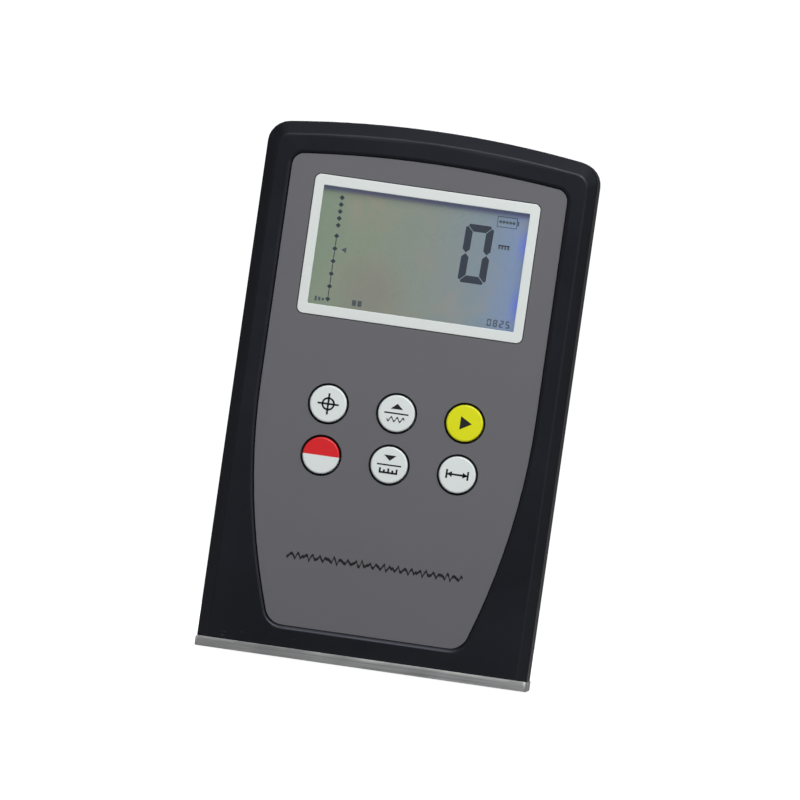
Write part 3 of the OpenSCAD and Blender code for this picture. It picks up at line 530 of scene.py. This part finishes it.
def select_only(*pieces):
    """Leaves only these objects selected, the first one active."""
    bpy.ops.object.select_all(action="DESELECT")
    for piece in pieces:
        piece.select_set(True)
    bpy.context.view_layer.objects.active = pieces[0]


def settle(piece):
    """Puts an object's place into its mesh."""
    select_only(piece)
    bpy.ops.object.transform_apply(location=True, rotation=True, scale=True)


def apply_modifier(piece, kind, **settings):
    """Gives an object a modifier with these settings and applies it."""
    modifier = piece.modifiers.new(kind.lower(), kind)
    for name, value in settings.items():
        setattr(modifier, name, value)
    select_only(piece)
    bpy.ops.object.modifier_apply(modifier=modifier.name)


def edit_all(piece):
    """Opens a mesh for editing with everything selected."""
    select_only(piece)
    bpy.ops.object.mode_set(mode="EDIT")
    bpy.ops.mesh.select_all(action="SELECT")


def close_edit():
    """Ends the editing of a mesh."""
    bpy.ops.object.mode_set(mode="OBJECT")


def put_on(piece, body, finish):
    """Gives a finished piece its body and its material."""
    piece.data.materials.clear()
    piece.data.materials.append(FINISHES[finish])
    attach(piece, body)


def dress(node, edge, finish=None):
    """Stands a copy of a part in its place, with joined faces and its sharp edges broken."""
    piece = bpy.data.objects.new("dressed_" + node, frame["nodes"][node].data.copy())
    bpy.context.scene.collection.objects.link(piece)
    select_only(piece)
    bpy.ops.mesh.customdata_custom_splitnormals_clear()
    edit_all(piece)
    bpy.ops.mesh.remove_doubles(threshold=WELD)
    bpy.ops.mesh.dissolve_limited(angle_limit=FLAT_ANGLE)
    close_edit()
    if edge:
        apply_modifier(piece, "BEVEL", width=edge, segments=BREAK_STEPS, limit_method="ANGLE",
                       angle_limit=BREAK_ANGLE, use_clamp_overlap=True, miter_outer="MITER_ARC")
        edit_all(piece)
        bpy.ops.mesh.remove_doubles(threshold=WELD)
        bpy.ops.mesh.dissolve_degenerate(threshold=WELD)
        close_edit()
    select_only(piece)
    bpy.ops.object.shade_smooth_by_angle(angle=SMOOTH_ANGLE)
    apply_modifier(piece, "WEIGHTED_NORMAL", keep_sharp=True, weight=100)
    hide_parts(node)
    put_on(piece, BODY_OF[node], finish or SLOT_OF[node])


# Every part but the batteries and the lead screw, with the size of its broken edges in millimetres
EDGES = {
    "front_cover": 0.16, "rear_cover": 0.16, "battery_door": 0.14, "base_plate": 0.22,
    "front_panel": 0.08, "display_frame": 0.2, "display_lens": 0.1, "lcd_glass": 0.08, "backlight": 0.15,
    "key_switches": 0.12, "circuit_board": 0.08, "board_chips": 0.08, "wire_header": 0.08,
    "battery_springs": 0.0, "battery_contacts": 0.06,
    "case_screws": 0.08, "base_screws": 0.05, "board_screws": 0.05, "bracket_screws": 0.05,
    "gearbox_screws": 0.06, "drive_bracket": 0.15, "motor": 0.3, "gearbox": 0.25, "motor_shaft": 0.12,
    "shaft_coupling": 0.25, "screw_bush": 0.08,
    "lower_guide_rod": 0.15, "upper_guide_rod": 0.15, "carriage": 0.2, "drive_nut": 0.12, "pickup_pin": 0.1,
    "pickup_body": 0.18, "skid": 0.05, "stylus_pin": 0.06, "stylus_arm": 0.05, "stylus_tip": 0.0,
}
for key in KEY_NAMES:
    EDGES[key + "_key"] = 0.05
    EDGES[key + "_plunger"] = 0.1
BATTERY_EDGE = 0.12

for node, edge in EDGES.items():
    dress(node, edge * MM)
for number in (1, 2, 3, 4):
    dress(f"battery_{number}", BATTERY_EDGE * MM, finish="cell_plus_up" if number % 2 else "cell_plus_down")


# Lead screw

def plain_end(radius, start, end, edge):
    """A plain length of round bar along X, with its rims broken."""
    bpy.ops.object.select_all(action="DESELECT")
    bpy.ops.mesh.primitive_cylinder_add(vertices=THREAD_STEPS, radius=radius, depth=end - start,
                                        location=((start + end) / 2, 0, 0), rotation=(0, radians(90), 0))
    bar = bpy.context.object
    settle(bar)
    apply_modifier(bar, "BEVEL", width=edge, segments=BREAK_STEPS, limit_method="ANGLE",
                   angle_limit=BREAK_ANGLE)
    return bar


def rolled_thread(crest, start, end):
    """A screw thread about X, cut square at both ends."""
    bpy.ops.object.select_all(action="DESELECT")
    bpy.ops.mesh.primitive_plane_add(size=THREAD_PITCH)
    thread = bpy.context.object
    edit_all(thread)
    bpy.ops.mesh.merge(type="CENTER")
    bpy.ops.transform.translate(value=(start - THREAD_LEAD_IN, 0, crest - THREAD_DEPTH))
    for (along, rise), (next_along, next_rise) in zip(THREAD_OUTLINE, THREAD_OUTLINE[1:]):
        step = ((next_along - along) * THREAD_PITCH, 0, (next_rise - rise) * THREAD_DEPTH)
        bpy.ops.mesh.extrude_region_move(TRANSFORM_OT_translate={"value": step})
    close_edit()
    spare_turns = 3
    apply_modifier(thread, "SCREW", axis="X", angle=2 * pi, screw_offset=THREAD_PITCH,
                   iterations=int((end - start) / THREAD_PITCH) + spare_turns, steps=THREAD_STEPS,
                   render_steps=THREAD_STEPS)
    edit_all(thread)
    bpy.ops.mesh.remove_doubles(threshold=THREAD_WELD)
    for place, inner in ((start, True), (end, False)):
        bpy.ops.mesh.select_all(action="SELECT")
        bpy.ops.mesh.bisect(plane_co=(place, 0, 0), plane_no=(1, 0, 0), use_fill=True,
                            clear_inner=inner, clear_outer=not inner, threshold=THREAD_CUT)
    bpy.ops.mesh.select_all(action="SELECT")
    bpy.ops.mesh.normals_make_consistent(inside=False)
    close_edit()
    return thread


def make_lead_screw():
    """The lead screw: a plain end in its coupling, a rolled thread, and a journal in its bush."""
    coupling_gap, bush_gap = 0.3 * MM, 0.5 * MM
    plain_drop, journal_drop = 0.02 * MM, 0.5 * MM
    overlap, rim = 0.2 * MM, 0.12 * MM
    low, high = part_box("lead_screw")
    crest = (high.z - low.z) / 2
    thread_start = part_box("shaft_coupling")[1].x + coupling_gap
    thread_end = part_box("screw_bush")[0].x - bush_gap
    screw = rolled_thread(crest, thread_start, thread_end)
    for end in (plain_end(crest - plain_drop, low.x, thread_start + overlap, rim),
                plain_end(crest - journal_drop, thread_end - overlap, high.x, rim)):
        apply_modifier(screw, "BOOLEAN", operation="UNION", solver="EXACT", object=end)
        bpy.data.objects.remove(end)
    screw.name = screw.data.name = "threaded_lead_screw"
    screw.data.transform(Matrix.Translation((0, (low.y + high.y) / 2, (low.z + high.z) / 2)))
    edit_all(screw)
    bpy.ops.mesh.normals_make_consistent(inside=False)
    close_edit()
    bpy.ops.object.shade_smooth_by_angle(angle=SMOOTH_ANGLE)
    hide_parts("lead_screw")
    put_on(screw, BODY_OF["lead_screw"], SLOT_OF["lead_screw"])


make_lead_screw()


# Flat prints, each drawn as the reader sees it

def flat_bar(width, height):
    """A rectangle in the plane of the front."""
    bpy.ops.object.select_all(action="DESELECT")
    bpy.ops.mesh.primitive_plane_add(size=1, rotation=(radians(90), 0, 0))
    bar = bpy.context.object
    bar.scale = (width, height, 1)
    settle(bar)
    return bar


def flat_polygon(corners, radius):
    """A regular polygon with a corner at the top, or a disc if it has many corners."""
    bpy.ops.object.select_all(action="DESELECT")
    bpy.ops.mesh.primitive_circle_add(vertices=corners, radius=radius, fill_type="NGON",
                                      rotation=(radians(90), 0, 0))
    shape = bpy.context.object
    settle(shape)
    return shape


def flat_ring(radius, width):
    """A ring, cut from a disc by an inset."""
    ring = flat_polygon(40, radius)
    edit_all(ring)
    bpy.ops.mesh.inset(thickness=width)
    bpy.ops.mesh.delete(type="FACE")
    close_edit()
    return ring


def moved(shape, x, z, turn=0.0):
    """Turns a flat shape about the reader's line of sight and moves it."""
    shape.data.transform(Matrix.Translation((x, 0, z)) @ Matrix.Rotation(turn, 4, "Y"))
    return shape


def from_middle(shape, middle, x, z, turn=0.0):
    """Moves a flat shape to a place that is given in millimetres from a middle."""
    return moved(shape, middle.x + x * MM, middle.z + z * MM, turn)


def row_of(shape, count, middle, x, z, step_x=0.0, step_z=0.0):
    """A flat shape and copies of it in a row; its start and its steps are in millimetres from a middle."""
    row = [shape]
    for _ in range(1, count):
        twin = bpy.data.objects.new(shape.name, shape.data.copy())
        bpy.context.scene.collection.objects.link(twin)
        row.append(twin)
    for i, part in enumerate(row):
        from_middle(part, middle, x + i * step_x, z + i * step_z)
    return row


def pick(shape, chosen):
    """Selects the chosen corners of a shape, ready for edit mode."""
    select_only(shape)
    bpy.context.tool_settings.mesh_select_mode = (True, False, False)
    for part in (*shape.data.polygons, *shape.data.edges):
        part.select = False
    for vertex in shape.data.vertices:
        vertex.select = chosen(vertex.co)


def pull(shape, chosen, x):
    """Moves the chosen corners of a flat shape along X."""
    pick(shape, chosen)
    bpy.ops.object.mode_set(mode="EDIT")
    bpy.ops.transform.translate(value=(x, 0, 0))
    close_edit()


def display_segment(length, stroke, mitred):
    """One bar of a digit along X: mitred ends meet the next bar at a corner, the others are pointed."""
    bar = flat_bar(length, stroke)
    for side in (-1, 1):
        def at_end(corner):
            return corner.x * side > length / 4
        if side in mitred:
            pull(bar, lambda corner: at_end(corner) and corner.z < 0, -side * stroke)
            pick(bar, lambda corner: at_end(corner) and corner.z > 0)
            bpy.ops.object.mode_set(mode="EDIT")
            bpy.ops.mesh.bevel(offset=0.4 * stroke, affect="VERTICES", segments=1)
            close_edit()
        else:
            pick(bar, at_end)
            bpy.ops.object.mode_set(mode="EDIT")
            bpy.ops.mesh.subdivide(number_cuts=1)
            close_edit()
            pull(bar, lambda corner: at_end(corner) and abs(corner.z) > stroke / 4, -side * stroke / 2)
    return bar


def digit(figure, middle, height, width, stroke, x, z):
    """A seven-segment digit, in millimetres; its segments are a to g from the top round to the middle."""
    height, width, stroke = height * MM, width * MM, stroke * MM
    gap = 0.07 * stroke
    level = width - 2 * gap
    upright = height / 2 - 1.5 * gap
    side = (width - stroke) / 2
    end = (height - stroke) / 2
    rise = (height - upright) / 2 - gap
    # Place, turn and length of each bar, and its ends that are mitred
    bars = {
        "a": (0, end, 0.0, level, (-1, 1)), "d": (0, -end, pi, level, (-1, 1)),
        "g": (0, 0, 0.0, level - stroke, ()),
        "b": (side, rise, pi / 2, upright, (-1,)), "c": (side, -rise, pi / 2, upright, (1,)),
        "e": (-side, -rise, -pi / 2, upright, (-1,)), "f": (-side, rise, -pi / 2, upright, (1,)),
    }
    lean = Matrix.Identity(4)
    lean[0][2] = tan(DIGIT_LEAN)
    lit = []
    for name in SEGMENTS[figure]:
        bar_x, bar_z, turn, length, mitred = bars[name]
        bar = moved(display_segment(length, stroke, mitred), bar_x, bar_z, turn)
        bar.data.transform(Matrix.Translation((middle.x + x * MM, 0, middle.z + z * MM)) @ lean)
        lit.append(bar)
    return lit


def trace_line(length, stroke, height, steps, ripples):
    """A level strip bent into a profile; each ripple gives a share, turns per millimetre and a phase."""
    strip = flat_bar(length, stroke)
    for edge in strip.data.edges:
        first, second = (strip.data.vertices[i].co for i in edge.vertices)
        edge.select = abs(first.x - second.x) > length / 2
    for part in (*strip.data.polygons, *strip.data.vertices):
        part.select = False
    select_only(strip)
    bpy.context.tool_settings.mesh_select_mode = (False, True, False)
    bpy.ops.object.mode_set(mode="EDIT")
    bpy.ops.mesh.subdivide(number_cuts=steps)
    close_edit()
    for vertex in strip.data.vertices:
        along = 2 * pi * vertex.co.x / MM
        vertex.co.z += height * sum(share * sin(along * turns + phase) for share, turns, phase in ripples)
    return strip


def print_on(name, shapes, front, body, finish):
    """Joins flat shapes into one print that lies on a face whose front is at that Y."""
    select_only(*shapes)
    if len(shapes) > 1:
        bpy.ops.object.join()
    piece = shapes[0]
    piece.name = piece.data.name = name
    piece.data.transform(Matrix.Translation((0, front - INK_GAP, 0)))
    edit_all(piece)
    bpy.ops.mesh.normals_make_consistent(inside=False)
    close_edit()
    if piece.data.polygons[0].normal.y > 0:
        piece.data.flip_normals()
    apply_modifier(piece, "SOLIDIFY", thickness=INK, offset=1.0)
    put_on(piece, body, finish)


# Marks of the display, placed in millimetres from its middle

def level_scale(middle):
    """Scale down the left side: five close dots, then six wider ones with a link between each two."""
    scale_x, dot = -19.5, 0.6 * MM
    close_top, close_step = 11.1, -1.57
    wide_top, link_top, wide_step = 2.4, 0.97, -2.86
    close_dots = row_of(flat_polygon(4, dot), 5, middle, scale_x, close_top, step_z=close_step)
    wide_dots = row_of(flat_polygon(4, dot), 6, middle, scale_x, wide_top, step_z=wide_step)
    links = row_of(flat_bar(0.2 * MM, 1.5 * MM), 5, middle, scale_x, link_top, step_z=wide_step)
    return [*close_dots, *wide_dots, *links]


def scale_pointer(middle):
    """Small pointer to the scale."""
    return [from_middle(flat_polygon(3, 0.75 * MM), middle, -17.3, -0.5, radians(-90))]


def cell_gauge(middle):
    """Outline of a cell at the top right, with its cap and five charge marks."""
    gauge_x, gauge_z, wide, tall, line = 18.1, 10.8, 4.4, 2.3, 0.16
    cap_gap, marks_start, marks_step = 0.3, 1.5, 0.75
    gauge = []
    for side in (-1, 1):
        upright, rail = flat_bar(line * MM, tall * MM), flat_bar((wide + line) * MM, line * MM)
        gauge.append(from_middle(upright, middle, gauge_x + side * wide / 2, gauge_z))
        gauge.append(from_middle(rail, middle, gauge_x, gauge_z + side * tall / 2))
    gauge.append(from_middle(flat_bar(0.35 * MM, 1.0 * MM), middle, gauge_x + wide / 2 + cap_gap, gauge_z))
    mark = flat_polygon(4, 0.42 * MM)
    return gauge + row_of(mark, 5, middle, gauge_x - marks_start, gauge_z, step_x=marks_step)


def small_readings(middle):
    """Ticks hung from a rule beside the digit, and bars, blocks and figures along the foot."""
    foot, bar_step, bar_drop, figure_step = -12.0, 0.8, 0.25, 1.4
    marks = row_of(flat_bar(0.42 * MM, 0.9 * MM), 4, middle, 17.1, 5.1, step_x=0.68)
    marks.append(from_middle(flat_bar(2.5 * MM, 0.28 * MM), middle, 18.1, 5.5))
    for i in range(3):
        bar = flat_bar(0.5 * MM, (1.1 - bar_drop * i) * MM)
        marks.append(from_middle(bar, middle, -22.2 + i * bar_step, foot - 0.1))
    marks += row_of(flat_bar(0.9 * MM, 1.3 * MM), 2, middle, -13.5, foot, step_x=1.25)
    for i, figure in enumerate("0825"):
        marks += digit(figure, middle, height=1.6, width=0.95, stroke=0.26, x=17.2 + i * figure_step, z=foot)
    return marks


def print_display():
    """Marks of the liquid crystal: one large digit, a level scale, a cell gauge and small readings."""
    low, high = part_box("display_frame")
    middle = (low + high) / 2 + Vector((MARKS_SHIFT, 0.0, 0.0))
    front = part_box("lcd_glass")[0].y
    reading = digit("0", middle, height=13.3, width=6.35, stroke=1.65, x=12.1, z=2.75)
    strong = [*reading, *level_scale(middle)]
    faint = [*scale_pointer(middle), *cell_gauge(middle), *small_readings(middle)]
    print_on("display_marks", strong, front, "case", "ink_lcd")
    print_on("display_faint_marks", faint, front, "case", "ink_lcd_faint")


# Signs of the keys, drawn about the origin

def calibrate_sign():
    """A ring with a cross through it."""
    reach = 4.8 * MM
    return [flat_ring(1.5 * MM, SIGN_LINE), flat_bar(reach, SIGN_LINE), flat_bar(SIGN_LINE, reach)]


def pointer_and_rule(turn):
    """A low pointer over a rule, turned up or down."""
    wide, tall, lift = 2.8 * MM, 1.25 * MM, 1.6 * MM
    pointer = flat_polygon(3, 1.0)
    low = min(vertex.co.z for vertex in pointer.data.vertices)
    high = max(vertex.co.z for vertex in pointer.data.vertices)
    half = max(vertex.co.x for vertex in pointer.data.vertices)
    pointer.data.transform(Matrix.Translation((0, 0, -(low + high) / 2)))
    pointer.data.transform(Matrix.Diagonal((wide / (2 * half), 1, tall / (high - low), 1)))
    return [moved(pointer, 0, lift, turn), flat_bar(5.5 * MM, SIGN_LINE * 0.8)]


def up_sign():
    """A pointer up over a rule, and a ripple under it."""
    sign = pointer_and_rule(0.0)
    ripple = trace_line(4.0 * MM, SIGN_LINE, height=0.45 * MM, steps=60, ripples=((1.0, 0.75, 0.0),))
    return [*sign, moved(ripple, 0, SIGN_BELOW * MM)]


def down_sign():
    """A pointer down over a rule, and a comb under it with long and short teeth by turns."""
    foot, tooth_step = SIGN_BELOW - 0.4, 0.95
    sign = pointer_and_rule(pi)
    sign.append(moved(flat_bar(4.2 * MM, SIGN_LINE), 0, foot * MM))
    for place, tall in ((-2, 1.0), (-1, 0.65), (0, 1.0), (1, 0.65), (2, 1.0)):
        tooth = flat_bar(SIGN_LINE, tall * MM)
        sign.append(moved(tooth, place * tooth_step * MM, (foot + tall / 2) * MM))
    return sign


def start_sign():
    """A large pointer to the right."""
    return [moved(flat_polygon(3, 1.75 * MM), -0.1 * MM, 0, pi / 2)]


def cutoff_sign():
    """A span between two stops, with a pointer to each."""
    span, stop, pointer_x = 4.8, 2.0, 1.6
    sign = [flat_bar(span * MM, SIGN_LINE)]
    for side in (-1, 1):
        sign.append(moved(flat_bar(SIGN_LINE, stop * MM), side * span / 2 * MM, 0))
        sign.append(moved(flat_polygon(3, 0.75 * MM), side * pointer_x * MM, 0, side * pi / 2))
    return sign


KEY_SIGNS = {
    "calibrate": calibrate_sign, "up": up_sign, "down": down_sign, "start": start_sign, "cutoff": cutoff_sign,
}


def print_keys():
    """Plain signs on the keys of one colour."""
    for key, draw_sign in KEY_SIGNS.items():
        low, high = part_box(key + "_key")
        shapes = draw_sign()
        for shape in shapes:
            moved(shape, (low.x + high.x) / 2, (low.z + high.z) / 2)
        print_on(key + "_sign", shapes, low.y, key + "_button", "ink_black")


def print_trace():
    """A roughness trace across the foot of the panel."""
    low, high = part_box("front_panel")
    lift = 15.9 * MM
    ripples = ((0.5, 0.62, 0.0), (0.32, 0.97, 1.0), (0.18, 1.71, 2.0))
    trace = trace_line(40 * MM, stroke=0.7 * MM, height=1.0 * MM, steps=240, ripples=ripples)
    moved(trace, (low.x + high.x) / 2, low.z + lift)
    print_on("panel_trace", [trace], low.y, "case", "ink_black")


print_display()
print_keys()
print_trace()


# Stage, light and camera

def make_stage():
    """A round pale floor that glows a little for the camera, so that it runs into the white surround."""
    bpy.ops.object.select_all(action="DESELECT")
    bpy.ops.mesh.primitive_circle_add(vertices=96, radius=FLOOR_RADIUS, fill_type="NGON",
                                      location=(0, 0, -FLOOR_DROP))
    floor = bpy.context.object
    floor.name = "floor"
    look = Finish("floor_pale", srgb(146, 146, 146), 0.8, specular=0.1)
    tree = look.tree
    tone = look.effect(HANDLING_SMEARS, 3.0)
    look.link(mix_colour(tree, tone.outputs["Mask"], srgb(145, 145, 145), srgb(147, 147, 147)), "Base Color")
    look.shader.inputs["Emission Color"].default_value = (1.0, 1.0, 1.0, 1.0)
    seen = tree.nodes.new("ShaderNodeLightPath").outputs["Is Camera Ray"]
    look.link(remap(tree, seen, 0.0, 1.0, 0.0, FLOOR_GLOW), "Emission Strength")
    floor.data.materials.append(look.material)


def add_light(name, place, target, size, power):
    """A soft rectangular light, aimed at a target."""
    light = bpy.data.lights.new(name, "AREA")
    light.shape = "RECTANGLE"
    light.size, light.size_y = size
    light.energy = power
    lamp = bpy.data.objects.new(name, light)
    lamp.location = place
    lamp.rotation_euler = (target - Vector(place)).to_track_quat("-Z", "Y").to_euler()
    bpy.context.scene.collection.objects.link(lamp)


def make_light(middle):
    """Soft light from above and the right, fill from both sides and the back, and a white surround."""
    for name, (place, size, power) in LIGHTS.items():
        add_light(name, place, middle, size, power)
    world = bpy.data.worlds.new("surround")
    world.use_nodes = True
    bpy.context.scene.world = world
    tree = world.node_tree
    background = tree.nodes["Background"]
    background.inputs["Color"].default_value = (1.0, 1.0, 1.0, 1.0)
    seen = tree.nodes.new("ShaderNodeLightPath").outputs["Is Camera Ray"]
    tree.links.new(remap(tree, seen, 0.0, 1.0, AMBIENT, SURROUND_WHITE), background.inputs["Strength"])


def make_camera(target):
    """Long lens from the front, turned by the photograph's tilt."""
    level = VIEW_DISTANCE * cos(VIEW_RISE)
    away = Vector((level * sin(VIEW_SIDE), -level * cos(VIEW_SIDE), VIEW_DISTANCE * sin(VIEW_RISE)))
    lens = bpy.data.cameras.new("photo_view")
    lens.sensor_width = SENSOR
    lens.lens = SENSOR * VIEW_DISTANCE / VIEW_WIDTH
    camera = bpy.data.objects.new("photo_view", lens)
    facing = (-away).to_track_quat("-Z", "Y").to_matrix().to_4x4()
    camera.matrix_world = Matrix.Translation(target + away) @ facing @ Matrix.Rotation(PHOTO_TILT, 4, "Z")
    bpy.context.scene.collection.objects.link(camera)
    bpy.context.scene.camera = camera


box_low, box_high = (Vector(corner) for corner in cad_box)
object_middle = (box_low + box_high) / 2
make_stage()
make_light(object_middle)
make_camera(object_middle + VIEW_AIM)
bpy.context.scene.view_settings.view_transform = "Standard"
